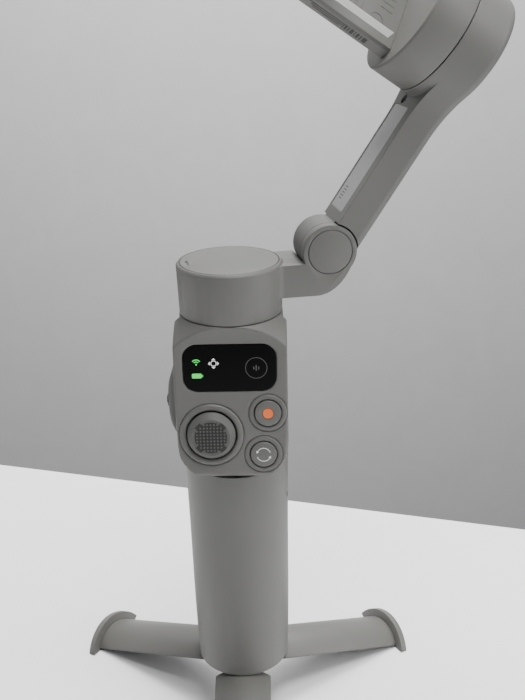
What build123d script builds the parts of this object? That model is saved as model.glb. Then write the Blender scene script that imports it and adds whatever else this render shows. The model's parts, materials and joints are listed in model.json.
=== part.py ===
from build123d import *
import math
import os

# Three-axis camera gimbal on a telescopic handle with a fold-out tripod.
# Units are millimetres. The handle stands on Z, the control panel faces -Y, the feet stand on Z = 0.

os.makedirs("parts", exist_ok=True)

# ---- fits ----
RUN = 0.06        # radial clearance of a running fit
SEAM = 0.3        # visible gap between two pieces
SEAT = 0.05       # clearance of a piece seated in its pocket

# ---- grip ----
GRIP_LOW = 23.74
GRIP_TOP = 179.34
GRIP_R = 20.1
GRIP_BORE_R = 17.2
DECK_DROP = 3.24                # the deck lies this far below the grip's top
GRIP_DECK_Z = GRIP_TOP - DECK_DROP
GRIP_DECK_T = 1.2

# ---- control pod ----
POD_HALF_W = 20.7
POD_LOW = 119.3
POD_SPLIT_Y = -6.0
POD_WALL = 2.2
POD_CORNER = 15.5
POD_ROOM_TOP = 159.5            # the full-width hollow of the pod ends here
FACE_LEAN = 7.0                 # backward lean of the control face, degrees
FACE_Y = -21.8                  # control face at the joystick
FACE_Z = 138.2                  # height of the joystick centre
GLASS_W = 33.8
GLASS_H = 17.6
GLASS_CORNER = 5.3
GLASS_T = 1.2
GLASS_PROUD = 0.2
GLASS_X = -0.3
GLASS_V = 25.6
STICK_X = -7.7
STICK_WELL_R = 9.4
STICK_GAP = 0.5                 # dark gap round the cap
STICK_R = STICK_WELL_R - STICK_GAP
STICK_TAPER = 38.0              # slope of the cap's domed top, degrees
STICK_LOW = 0.3                 # underside of the cap above the control face
STICK_RIM = 0.8                 # straight rim of the cap
STICK_DOME = 2.4
STEM_R = 1.8
STICK_RING_W = 2.5
STICK_RING_R = STICK_WELL_R + STICK_RING_W
STICK_PIVOT = -1.7
BUTTON_R = 4.85
BEZEL_R = 7.0
BEZEL_PROUD = 0.5
BUTTON_PROUD = 1.0
BUTTON_STEM = 3.0
RECORD_XV = (13.3, 8.2)
SWITCH_XV = (11.4, -7.8)
DOT_R = 1.9

# ---- side wheel ----
WHEEL_X = -17.4
WHEEL_Z = 149.2
WHEEL_R = 6.9
WHEEL_Y = (-14.3, -7.7)
WHEEL_AXLE_R = 1.2
WHEEL_TEETH = 30
BULGE_X = -23.5
BULGE_HALF_H = 13.5

# ---- trigger ----
TRIGGER_HALF_W = 6.8
TRIGGER_PIN_Y = 16.9
TRIGGER_PIN_Z = 155.5
TRIGGER_PIN_R = 1.0

# ---- extension rod ----
ROD_SLEEVE_R = 8.6
ROD_WALL = 0.8
ROD_LOW = 96.0
ROD_TOP = GRIP_DECK_Z - 0.1
ROD_STEP = 1.2

# ---- battery and base ----
CELL_R = 9.1
CELL_L = 65.0
CELL_LOW = 28.2
TUBE_WALL = 0.9
TUBE_R = CELL_R + SEAM + TUBE_WALL
BASE_LOW = 19.6
THREAD_R = 2.6                  # wall radius of a 1/4 inch tripod thread
THREAD_L = 6.5

# ---- tripod ----
LEG_AZIMUTHS = {"front": -90.0, "left": 150.0, "right": 30.0}
LEG_DROOP = 17.0
LEG_HINGE_R = 12.6
LEG_HINGE_Z = 22.6
LEG_TUBE_R = 15.4
LEG_WALL = 2.6
LEG_HALF_ANGLE = 50.0
LEG_START = 2.2
LEG_END = 67.72
LEG_KNUCKLE_R = 2.0
LEG_KNUCKLE_HALF = 4.0
LEG_PIN_R = 0.9
FOOT_R = 18.99
FOOT_HALF_ANGLE = 59.3
FOOT_T = 2.9
LEG_LIFT = 0.4                  # the legs clear the ground, the feet stand on it
GROUND_HALF = 200.0
GROUND_DEPTH = 30.0
CARRIAGE_LOW = 25.5
CARRIAGE_T = 2.2
CARRIAGE_LUG_T = 3.0

# ---- pan motor ----
PAN_REST = 12.0                 # turn of the head about the handle at rest, degrees
PAN_SEAM = GRIP_TOP + SEAM
PAN_H = 18.91
PAN_TOP = PAN_SEAM + PAN_H
PAN_LOW_R = 19.15
PAN_R = 19.6
PAN_CAP_R = 18.2
PAN_CAP_T = 1.2
MOTOR_WALL = 2.4
POST_R = 4.0
BEARING_R = 6.0
STATOR_SLOTS = 12
MAGNET_T = 2.0
AIR_GAP = 0.4

# ---- folding hinge and arm ----
BRACKET_ROOT = 16.7             # where the bracket's sides meet the drum
BRACKET_BLEND = 4.0
FOLD_X = 35.69
FOLD_RISE = 2.69                # the hinge line lies this far above the drum's top
FOLD_Z = PAN_TOP + FOLD_RISE
FOLD_R = 9.98
FOLD_PIN_R = 2.5
FOLD_CAP_R = 8.1
FOLD_SPLIT_Y = -5.6             # front cheek ends here
FOLD_BACK_Y = 7.3
ARM_LEAN = 55.85
ARM_HALF_W = 9.7
ARM_IN = 3.32                   # inner face, measured from the hinge line
ARM_OUT = 9.02                  # outer face, measured from the hinge line
ARM_NECK_R = 26.0
ARM_EDGE = 3.0

# ---- tilt motor ----
TILT_D = 83.8
TILT_R = 22.5
TILT_SEAM = 7.45
TILT_FACE = 21.15
TILT_WALL = 2.4

# ---- roll bar and roll motor ----
BAR_TURN = 35.0                 # turn of the bar about the tilt axis as photographed, degrees
BAR_HALF_W = 17.4
BAR_FRONT = 1.8
BAR_T = 6.5
BAR_COVER_T = 1.3
ROLL_N = 100.0
ROLL_R = 17.0
ROLL_DECK = 11.3
ROLL_POST_R = 3.5

# ---- phone clamp ----
CLAMP_HALF_W = 14.0
CLAMP_HALF_L = 38.0
CLAMP_BACK = 14.0
CLAMP_FRONT = 21.0
JAW_T = 4.0
JAW_REACH = 12.0
PAD_T = 1.5
CLAMP_ROD_R = 1.8
CLAMP_ROD_X = 9.0


def save(solid, name):
    """Label one finished piece and write it as STEP."""
    solid.label = name
    export_step(solid, f"parts/{name}.step")


# ---- reference planes ----
lean = math.radians(FACE_LEAN)
FACE = Plane(origin=(0, FACE_Y, FACE_Z), x_dir=(1, 0, 0), z_dir=(0, -math.cos(lean), math.sin(lean)))

turn = math.radians(PAN_REST)
HEAD_X = Vector(math.cos(turn), math.sin(turn), 0)
HEAD_Y = Vector(-math.sin(turn), math.cos(turn), 0)
HEAD_Z = Vector(0, 0, 1)
HEAD_SIDE = Plane(origin=(0, 0, 0), x_dir=HEAD_X, z_dir=-HEAD_Y)

rise = math.radians(ARM_LEAN)
ARM_D = HEAD_X * math.cos(rise) + HEAD_Z * math.sin(rise)
ARM_N = HEAD_Z * math.cos(rise) - HEAD_X * math.sin(rise)
HINGE = HEAD_X * FOLD_X + HEAD_Z * FOLD_Z
ARM_SIDE = Plane(origin=HINGE, x_dir=ARM_D, z_dir=-HEAD_Y)

TILT_O = HINGE + ARM_D * TILT_D
TILT = Plane(origin=TILT_O, x_dir=ARM_D, z_dir=ARM_N)

swing = math.radians(BAR_TURN)
BAR_W = ARM_D * math.cos(swing) + HEAD_Y * math.sin(swing)
BAR_B = HEAD_Y * math.cos(swing) - ARM_D * math.sin(swing)
BAR = Plane(origin=TILT_O, x_dir=BAR_W, z_dir=ARM_N)
ROLL = Plane(origin=TILT_O + ARM_N * ROLL_N + BAR_B * BAR_FRONT, x_dir=BAR_W, z_dir=-BAR_B)


def leg_planes(azimuth):
    """Cross-section plane (normal along the leg) at the leg's hinge line, and its tangent direction."""
    a = math.radians(azimuth)
    d = math.radians(LEG_DROOP)
    radial = Vector(math.cos(a), math.sin(a), 0)
    tangent = Vector(-math.sin(a), math.cos(a), 0)
    along = radial * math.cos(d) - Vector(0, 0, 1) * math.sin(d)
    hinge = radial * LEG_HINGE_R + Vector(0, 0, LEG_HINGE_Z)
    return Plane(origin=hinge, x_dir=tangent, z_dir=along), tangent, hinge


def arc_band(plane, length, inner_r, outer_r, half_angle):
    """Curved band about the handle-side tube axis of a leg, symmetric about the local +Y direction."""
    h = math.radians(half_angle)
    outer = [(outer_r * math.sin(t), outer_r * math.cos(t) - LEG_HINGE_R) for t in (-h, 0, h)]
    inner = [(inner_r * math.sin(t), inner_r * math.cos(t) - LEG_HINGE_R) for t in (-h, 0, h)]
    with BuildPart() as band:
        with BuildSketch(plane):
            with BuildLine():
                ThreePointArc(*outer)
                Line(outer[2], inner[2])
                ThreePointArc(*inner)
                Line(inner[0], outer[0])
            make_face()
        extrude(amount=length)
    return band.part


def stator_core(plane, low, high, bore_r, outer_r):
    """Slotted iron core of a gimbal motor."""
    with BuildPart() as core:
        with BuildSketch(plane.offset(low)):
            Circle(outer_r)
            Circle(bore_r, mode=Mode.SUBTRACT)
            with PolarLocations(outer_r * 0.76, STATOR_SLOTS):
                Rectangle(outer_r * 0.36, outer_r * 0.2, mode=Mode.SUBTRACT)
        extrude(amount=high - low)
    return core.part


def ring(plane, low, high, inner_r, outer_r):
    """Plain ring between two heights on a plane."""
    with BuildPart() as body:
        with BuildSketch(plane.offset(low)):
            Circle(outer_r)
            Circle(inner_r, mode=Mode.SUBTRACT)
        extrude(amount=high - low)
    return body.part


# ================= handle =================
with BuildPart() as grip_shell:
    with BuildSketch(Plane.XZ):
        with BuildLine():
            Line((GRIP_R - 1.4, GRIP_LOW), (GRIP_R - 1.03, GRIP_LOW + 0.4))
            Spline(
                (GRIP_R - 1.03, GRIP_LOW + 0.4),
                (GRIP_R - 0.4, GRIP_LOW + 25.0),
                (GRIP_R, GRIP_LOW + 73.0),
                (GRIP_R - 0.1, GRIP_TOP - 10.0),
                (GRIP_R - 0.85, GRIP_TOP),
            )
            Polyline(
                (GRIP_R - 0.85, GRIP_TOP),
                (GRIP_BORE_R, GRIP_TOP),
                (GRIP_BORE_R, GRIP_DECK_Z + GRIP_DECK_T),
                (ROD_SLEEVE_R + SEAT, GRIP_DECK_Z + GRIP_DECK_T),
                (ROD_SLEEVE_R + SEAT, GRIP_DECK_Z),
                (GRIP_BORE_R, GRIP_DECK_Z),
                (GRIP_BORE_R, GRIP_LOW + 1.1),
                (GRIP_R - 1.4, GRIP_LOW),
            )
        make_face()
    revolve(axis=Axis.Z)
    # window for the control pod
    with BuildSketch(Plane.XZ.offset(-POD_SPLIT_Y)):
        with Locations((0, (POD_LOW - SEAM + GRIP_DECK_Z) / 2)):
            Rectangle(2 * POD_HALF_W + 2 * SEAM, GRIP_DECK_Z - POD_LOW + SEAM)
        fillet(vertices().group_by(Axis.Y)[0], radius=POD_CORNER + SEAM)
    extrude(amount=30.0, mode=Mode.SUBTRACT)
    with BuildSketch(Plane.XZ.offset(-POD_SPLIT_Y)):
        with Locations((0, GRIP_TOP)):
            Rectangle(4 * POD_HALF_W, 2 * (GRIP_TOP - GRIP_DECK_Z), align=(Align.CENTER, Align.CENTER))
    extrude(amount=30.0, mode=Mode.SUBTRACT)
    # trigger slot and its pin hole
    with BuildSketch(Plane.XZ):
        with Locations((0, TRIGGER_PIN_Z - 10.5)):
            Rectangle(2 * TRIGGER_HALF_W + 1.2, 29.0)
    extrude(amount=-30.0, mode=Mode.SUBTRACT)
    with BuildSketch(Plane.YZ):
        with Locations((TRIGGER_PIN_Y, TRIGGER_PIN_Z)):
            Circle(TRIGGER_PIN_R + SEAT)
    extrude(amount=10.2, both=True, mode=Mode.SUBTRACT)
    # charging port
    with BuildSketch(Plane.YZ):
        with Locations((0, POD_LOW - 17.0)):
            RectangleRounded(9.3, 3.6, 1.7)
    extrude(amount=30.0, mode=Mode.SUBTRACT)
save(grip_shell.part, "grip_shell")

rod_deck_r = ROD_SLEEVE_R + SEAT
with BuildPart() as pod_shell:
    with BuildSketch(Plane.XY.offset(POD_LOW - 2)):
        with Locations((0, -16.0)):
            RectangleRounded(2 * POD_HALF_W, 20.0, 6.5)
        with Locations((0, -9.0)):
            Rectangle(2 * POD_HALF_W, 6.0)
    extrude(amount=GRIP_TOP - POD_LOW + 2)
    # side profile: leaning control face and the swept transition to the motor above
    with BuildSketch(Plane.YZ.offset(-30)):
        with BuildLine():
            Line((POD_SPLIT_Y, POD_LOW), (-19.4, POD_LOW))
            Line((-19.4, POD_LOW), (-23.9, POD_LOW + 3.4))
            Line((-23.9, POD_LOW + 3.4), (-18.3, 168.0))
            Spline((-18.3, 168.0), (-18.0, 173.0), (-PAN_LOW_R, GRIP_TOP))
            Line((-PAN_LOW_R, GRIP_TOP), (POD_SPLIT_Y, GRIP_TOP))
            Line((POD_SPLIT_Y, GRIP_TOP), (POD_SPLIT_Y, POD_LOW))
        make_face()
    extrude(amount=60, mode=Mode.INTERSECT)
    # front outline with its round lower corners
    with BuildSketch(Plane.XZ):
        with Locations((0, (POD_LOW + GRIP_TOP) / 2)):
            Rectangle(2 * POD_HALF_W, GRIP_TOP - POD_LOW)
        fillet(vertices().group_by(Axis.Y)[0], radius=POD_CORNER)
    extrude(amount=40.0, mode=Mode.INTERSECT)
    # shoulders drawn in to the round motor
    with BuildSketch(Plane.XZ):
        with BuildLine():
            Polyline((0, POD_LOW - 5), (34.0, POD_LOW - 5), (34.0, 158.0))
            Spline((34.0, 158.0), (29.5, 168.0), (24.0, 175.0), (PAN_LOW_R + 0.1, GRIP_TOP))
            Polyline((PAN_LOW_R + 0.1, GRIP_TOP), (0, GRIP_TOP), (0, POD_LOW - 5))
        make_face()
    revolve(axis=Axis.Z, mode=Mode.INTERSECT)
    # housing of the side wheel
    with BuildSketch(Plane.XZ.offset(-POD_SPLIT_Y)):
        with BuildLine():
            Polyline((-POD_HALF_W + 1, WHEEL_Z - BULGE_HALF_H - 1), (-POD_HALF_W, WHEEL_Z - BULGE_HALF_H))
            Spline(
                (-POD_HALF_W, WHEEL_Z - BULGE_HALF_H),
                (BULGE_X + 0.3, WHEEL_Z - BULGE_HALF_H / 2),
                (BULGE_X, WHEEL_Z),
                (BULGE_X + 0.3, WHEEL_Z + BULGE_HALF_H / 2),
                (-POD_HALF_W, WHEEL_Z + BULGE_HALF_H),
            )
            Polyline(
                (-POD_HALF_W, WHEEL_Z + BULGE_HALF_H),
                (-POD_HALF_W + 1, WHEEL_Z + BULGE_HALF_H + 1),
                (-POD_HALF_W + 1, WHEEL_Z - BULGE_HALF_H - 1),
            )
        make_face()
    extrude(amount=10.5)
    # hollow
    with BuildSketch(Plane.YZ.offset(-POD_HALF_W + POD_WALL)):
        with BuildLine():
            Polyline(
                (0, POD_LOW + POD_WALL),
                (-19.4, POD_LOW + POD_WALL),
                (-21.4, POD_LOW + POD_WALL + 2.4),
                (-16.9, POD_ROOM_TOP),
                (0, POD_ROOM_TOP),
                (0, POD_LOW + POD_WALL),
            )
        make_face()
    extrude(amount=2 * (POD_HALF_W - POD_WALL), mode=Mode.SUBTRACT)
    with BuildSketch(Plane.XY.offset(POD_ROOM_TOP - 1)):
        Circle(GRIP_BORE_R - 0.9)
    extrude(amount=GRIP_DECK_Z - POD_ROOM_TOP - 1, mode=Mode.SUBTRACT)
    # seat of the motor base above the deck, and room for the handle's deck and tube
    with BuildSketch(Plane.XY.offset(GRIP_DECK_Z + GRIP_DECK_T)):
        Circle(GRIP_BORE_R)
    extrude(amount=10.0, mode=Mode.SUBTRACT)
    with BuildSketch(Plane.XY.offset(POD_LOW - 1)):
        Circle(rod_deck_r + 0.2)
    extrude(amount=GRIP_TOP - POD_LOW + 2, mode=Mode.SUBTRACT)
    # control openings
    with BuildSketch(FACE.offset(GLASS_PROUD - GLASS_T)):
        with Locations((GLASS_X, GLASS_V)):
            RectangleRounded(GLASS_W + 2 * SEAT, GLASS_H + 2 * SEAT, GLASS_CORNER + SEAT)
    extrude(amount=10.0, mode=Mode.SUBTRACT)
    with BuildSketch(FACE.offset(-6.0)):
        with Locations((STICK_X, 0)):
            Circle(STICK_WELL_R + 0.6)
        with Locations(RECORD_XV, SWITCH_XV):
            Circle(BUTTON_R + SEAM)
    extrude(amount=12.0, mode=Mode.SUBTRACT)
    with BuildSketch(FACE.offset(-0.5)):
        with Locations((STICK_X, 0)):
            Circle(STICK_RING_R + SEAT)
        with Locations(RECORD_XV, SWITCH_XV):
            Circle(BEZEL_R + SEAT)
    extrude(amount=6.0, mode=Mode.SUBTRACT)
    # side wheel slot and its two axle lugs
    with BuildSketch(Plane.XZ.offset(-WHEEL_Y[1] - SEAM)):
        with Locations((-POD_HALF_W, WHEEL_Z)):
            Rectangle(2 * (WHEEL_R + SEAM), 2 * (WHEEL_R + SEAM))
    extrude(amount=WHEEL_Y[1] - WHEEL_Y[0] + 2 * SEAM, mode=Mode.SUBTRACT)
    with BuildSketch(Plane.XZ.offset(-POD_SPLIT_Y)):
        with Locations((WHEEL_X - 0.5, WHEEL_Z)):
            Rectangle(5.0, 5.0)
    extrude(amount=-WHEEL_Y[1] - 0.4 + POD_SPLIT_Y)
    with BuildSketch(Plane.XZ.offset(-WHEEL_Y[0] + 0.4)):
        with Locations((WHEEL_X - 0.5, WHEEL_Z)):
            Rectangle(5.0, 5.0)
    extrude(amount=1.3)
    with BuildSketch(Plane.XZ.offset(-POD_SPLIT_Y - 1)):
        with Locations((WHEEL_X, WHEEL_Z)):
            Circle(WHEEL_AXLE_R + SEAT)
    extrude(amount=12.0, mode=Mode.SUBTRACT)
save(pod_shell.part, "pod_shell")

with BuildPart() as panel_glass:
    with BuildSketch(FACE.offset(GLASS_PROUD - GLASS_T)):
        with Locations((GLASS_X, GLASS_V)):
            RectangleRounded(GLASS_W, GLASS_H, GLASS_CORNER)
    extrude(amount=GLASS_T)
save(panel_glass.part, "panel_glass")

with BuildPart() as joystick_ring:
    with BuildSketch(FACE.offset(-0.5)):
        with Locations((STICK_X, 0)):
            Circle(STICK_RING_R)
            Circle(STICK_WELL_R, mode=Mode.SUBTRACT)
    extrude(amount=1.3)
    chamfer(joystick_ring.edges().filter_by(GeomType.CIRCLE).sort_by(Axis.Y)[0:2], length=0.5)
save(joystick_ring.part, "joystick_ring")

with BuildPart() as joystick_base:
    with BuildSketch(FACE.offset(-6.6)):
        with Locations((STICK_X, 0)):
            Circle(STICK_WELL_R - 2.0)
            Circle(3.4, mode=Mode.SUBTRACT)
    extrude(amount=1.2)
    with BuildSketch(FACE.offset(-6.6)):
        with Locations((STICK_X, 6.3), (STICK_X, -6.3)):
            Rectangle(3.0, 1.5)
    extrude(amount=6.6 + STICK_PIVOT + 0.1)
save(joystick_base.part, "joystick_base")

with BuildPart() as joystick_yoke:
    with BuildSketch(FACE.offset(STICK_PIVOT - 0.6)):
        with Locations((STICK_X, 0)):
            Circle(4.4)
            Circle(3.2, mode=Mode.SUBTRACT)
        with Locations((STICK_X, 4.8), (STICK_X, -4.8)):
            Rectangle(1.2, 1.2)
    extrude(amount=1.2)
save(joystick_yoke.part, "joystick_yoke")

with BuildPart() as joystick_cap:
    with BuildSketch(FACE.offset(STICK_LOW)):
        with Locations((STICK_X, 0)):
            Circle(STICK_R)
    extrude(amount=STICK_RIM)
    with BuildSketch(FACE.offset(STICK_LOW + STICK_RIM)):
        with Locations((STICK_X, 0)):
            Circle(STICK_R)
    extrude(amount=STICK_DOME, taper=STICK_TAPER)
    with BuildSketch(FACE.offset(0.5)):
        with Locations((STICK_X, 0)):
            Circle(STEM_R)
    extrude(amount=-4.6)
save(joystick_cap.part, "joystick_cap")

with BuildPart() as button_bezels:
    with BuildSketch(FACE.offset(-0.5)):
        with Locations(RECORD_XV, SWITCH_XV):
            Circle(BEZEL_R)
            Circle(BUTTON_R + SEAM, mode=Mode.SUBTRACT)
    extrude(amount=0.5 + BEZEL_PROUD)
save(button_bezels.part, "button_bezels")

with BuildPart() as record_button:
    with BuildSketch(FACE.offset(-BUTTON_STEM)):
        with Locations(RECORD_XV):
            Circle(BUTTON_R)
    extrude(amount=BUTTON_STEM + BUTTON_PROUD)
    with BuildSketch(FACE.offset(BUTTON_PROUD - 0.5)):
        with Locations(RECORD_XV):
            Circle(DOT_R + SEAT)
    extrude(amount=1.0, mode=Mode.SUBTRACT)
save(record_button.part, "record_button")

with BuildPart() as record_dot:
    with BuildSketch(FACE.offset(BUTTON_PROUD - 0.5)):
        with Locations(RECORD_XV):
            Circle(DOT_R)
    extrude(amount=0.6)
save(record_dot.part, "record_dot")

with BuildPart() as switch_button:
    with BuildSketch(FACE.offset(-BUTTON_STEM)):
        with Locations(SWITCH_XV):
            Circle(BUTTON_R)
    extrude(amount=BUTTON_STEM + BUTTON_PROUD)
save(switch_button.part, "switch_button")

with BuildPart() as main_board:
    with BuildSketch(Plane.XZ.offset(10.2)):
        with Locations((3.4, 141.0)):
            Rectangle(26.0, 34.0)
    extrude(amount=1.4)
save(main_board.part, "main_board")

with BuildPart() as side_wheel:
    with BuildSketch(Plane.XZ.offset(-WHEEL_Y[1])):
        with Locations((WHEEL_X, WHEEL_Z)):
            Circle(WHEEL_R)
            Circle(WHEEL_AXLE_R + RUN, mode=Mode.SUBTRACT)
            with PolarLocations(WHEEL_R, WHEEL_TEETH):
                Circle(0.3, mode=Mode.SUBTRACT)
    extrude(amount=WHEEL_Y[1] - WHEEL_Y[0])
save(side_wheel.part, "side_wheel")

with BuildPart() as wheel_axle:
    with BuildSketch(Plane.XZ.offset(-POD_SPLIT_Y + 0.1)):
        with Locations((WHEEL_X, WHEEL_Z)):
            Circle(WHEEL_AXLE_R)
    extrude(amount=-WHEEL_Y[0] + POD_SPLIT_Y + 1.4)
save(wheel_axle.part, "wheel_axle")

with BuildPart() as trigger:
    with BuildSketch(Plane.YZ.offset(-TRIGGER_HALF_W)):
        with BuildLine():
            Spline((17.4, 158.6), (20.6, 157.0), (22.6, 150.0), (24.4, 141.0), (25.4, 134.5), (24.6, 132.6))
            Line((24.6, 132.6), (22.4, 132.6))
            Spline((22.4, 132.6), (20.4, 141.0), (18.2, 149.0), (15.2, 153.4))
            Line((15.2, 153.4), (14.6, 157.4))
            Line((14.6, 157.4), (17.4, 158.6))
        make_face()
        with Locations((TRIGGER_PIN_Y, TRIGGER_PIN_Z)):
            Circle(TRIGGER_PIN_R + RUN, mode=Mode.SUBTRACT)
    extrude(amount=2 * TRIGGER_HALF_W)
save(trigger.part, "trigger")

with BuildPart() as trigger_pin:
    with BuildSketch(Plane.YZ):
        with Locations((TRIGGER_PIN_Y, TRIGGER_PIN_Z)):
            Circle(TRIGGER_PIN_R)
    extrude(amount=9.8, both=True)
save(trigger_pin.part, "trigger_pin")

with BuildPart() as usb_socket:
    with BuildSketch(Plane.YZ.offset(12.0)):
        with Locations((0, POD_LOW - 17.0)):
            RectangleRounded(9.0, 3.3, 1.6)
    extrude(amount=7.6)
    with BuildSketch(Plane.YZ.offset(13.0)):
        with Locations((0, POD_LOW - 17.0)):
            RectangleRounded(8.3, 2.6, 1.25)
            Rectangle(6.6, 0.8, mode=Mode.SUBTRACT)
    extrude(amount=7.0, mode=Mode.SUBTRACT)
save(usb_socket.part, "usb_socket")

with BuildPart() as battery_cell:
    with BuildSketch(Plane.XY.offset(CELL_LOW)):
        Circle(CELL_R)
    extrude(amount=CELL_L - 1.0)
    with BuildSketch(Plane.XY.offset(CELL_LOW + CELL_L - 1.0)):
        Circle(3.2)
    extrude(amount=1.0)
save(battery_cell.part, "battery_cell")

save(ring(Plane.XY, BASE_LOW + 7.4, CELL_LOW + CELL_L + 0.6, TUBE_R - TUBE_WALL, TUBE_R), "battery_tube")

with BuildPart() as base_cap:
    with BuildSketch(Plane.XY.offset(BASE_LOW)):
        Circle(TUBE_R)
        Circle(THREAD_R + 1.9, mode=Mode.SUBTRACT)
    extrude(amount=THREAD_L)
    with BuildSketch(Plane.XY.offset(BASE_LOW + THREAD_L)):
        Circle(TUBE_R)
    extrude(amount=0.8)
save(base_cap.part, "base_cap")

save(ring(Plane.XY, BASE_LOW, BASE_LOW + THREAD_L, THREAD_R, THREAD_R + 1.85), "thread_insert")

# ================= tripod =================
with BuildPart() as tripod_carriage:
    with BuildSketch(Plane.XY.offset(CARRIAGE_LOW)):
        Circle(GRIP_BORE_R - SEAM)
        Circle(TUBE_R + 0.2, mode=Mode.SUBTRACT)
    extrude(amount=CARRIAGE_T)
    for azimuth in LEG_AZIMUTHS.values():
        section, tangent, hinge = leg_planes(azimuth)
        side = Plane(origin=hinge, x_dir=(hinge - Vector(0, 0, LEG_HINGE_Z)).normalized(), z_dir=-tangent)
        for low in (LEG_KNUCKLE_HALF + 0.2, -LEG_KNUCKLE_HALF - 0.2 - CARRIAGE_LUG_T):
            with BuildSketch(side.offset(low)):
                Circle(1.85)
                with Locations((-0.35, (CARRIAGE_LOW - LEG_HINGE_Z) / 2)):
                    Rectangle(3.0, CARRIAGE_LOW - LEG_HINGE_Z + 0.2)
            extrude(amount=CARRIAGE_LUG_T)
        with BuildSketch(side.offset(-LEG_KNUCKLE_HALF - CARRIAGE_LUG_T - 1)):
            Circle(LEG_PIN_R + SEAT)
        extrude(amount=2 * (LEG_KNUCKLE_HALF + CARRIAGE_LUG_T + 1), mode=Mode.SUBTRACT)
save(tripod_carriage.part, "tripod_carriage")

with BuildPart() as leg_pins:
    for azimuth in LEG_AZIMUTHS.values():
        section, tangent, hinge = leg_planes(azimuth)
        with BuildSketch(Plane(origin=hinge, z_dir=tangent)):
            Circle(LEG_PIN_R)
        extrude(amount=LEG_KNUCKLE_HALF + CARRIAGE_LUG_T, both=True)
save(leg_pins.part, "leg_pins")


def tripod_leg(azimuth):
    """Curved leg shell with its hinge knuckle."""
    section, tangent, hinge = leg_planes(azimuth)
    side = Plane(origin=hinge, x_dir=section.z_dir, z_dir=-tangent)
    shell_length = LEG_END - FOOT_T - LEG_START
    shell = arc_band(
        section.offset(LEG_START), shell_length, LEG_TUBE_R - LEG_WALL, LEG_TUBE_R, LEG_HALF_ANGLE
    )
    with BuildPart() as leg:
        add(shell)
        with BuildSketch(side.offset(-LEG_KNUCKLE_HALF)):
            Circle(LEG_KNUCKLE_R)
            with Locations((LEG_START, 0.4)):
                Rectangle(2 * LEG_START, 2.6)
        extrude(amount=2 * LEG_KNUCKLE_HALF)
        with BuildSketch(side.offset(-LEG_KNUCKLE_HALF - 1)):
            Circle(LEG_PIN_R + RUN)
        extrude(amount=2 * (LEG_KNUCKLE_HALF + 1), mode=Mode.SUBTRACT)
        with BuildSketch(Plane.XY.offset(LEG_LIFT)):
            Rectangle(2 * GROUND_HALF, 2 * GROUND_HALF)
        extrude(amount=-GROUND_DEPTH, mode=Mode.SUBTRACT)
    return leg.part


def tripod_foot(azimuth):
    """Raised curved rim at the end of a leg."""
    section, tangent, hinge = leg_planes(azimuth)
    rim = arc_band(
        section.offset(LEG_END - FOOT_T), FOOT_T, LEG_TUBE_R - LEG_WALL, FOOT_R, FOOT_HALF_ANGLE
    )
    with BuildPart() as foot:
        add(rim)
        with BuildSketch(Plane.XY):
            Rectangle(2 * GROUND_HALF, 2 * GROUND_HALF)
        extrude(amount=-GROUND_DEPTH, mode=Mode.SUBTRACT)
    return foot.part


for side_name, azimuth in LEG_AZIMUTHS.items():
    save(tripod_leg(azimuth), f"leg_{side_name}")
    save(tripod_foot(azimuth), f"foot_{side_name}")

# ================= extension rod =================
save(ring(Plane.XY, ROD_LOW, ROD_TOP + 1.0, ROD_SLEEVE_R - ROD_WALL, ROD_SLEEVE_R), "rod_sleeve")
stage_r = ROD_SLEEVE_R - ROD_WALL
for index in (1, 2, 3):
    stage = ring(Plane.XY, ROD_LOW + 1, ROD_TOP + 1, stage_r - RUN - ROD_WALL, stage_r - RUN)
    save(stage, f"rod_stage_{index}")
    stage_r = stage_r - RUN - ROD_WALL

# ================= pan motor =================
with BuildPart() as pan_base:
    with BuildSketch(Plane.XY.offset(GRIP_DECK_Z + GRIP_DECK_T + 0.2)):
        Circle(GRIP_BORE_R - 0.6)
    extrude(amount=3.4)
    with BuildSketch(Plane.XY.offset(GRIP_DECK_Z + GRIP_DECK_T + 0.2)):
        Circle(POST_R)
    extrude(amount=17.2)
save(pan_base.part, "pan_base")

PAN_DECK = PAN_TOP - PAN_CAP_T - 2.0
save(stator_core(Plane.XY, PAN_SEAM + 2.6, PAN_DECK - 4.2, POST_R, 14.5), "pan_stator")
save(ring(Plane.XY, PAN_DECK - 3.1, PAN_DECK - 0.7, POST_R, BEARING_R), "pan_bearing")
save(ring(Plane.XY, PAN_SEAM + 2.0, PAN_DECK - 3.4, 14.5 + AIR_GAP, GRIP_BORE_R - 0.4), "pan_magnets")

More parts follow.
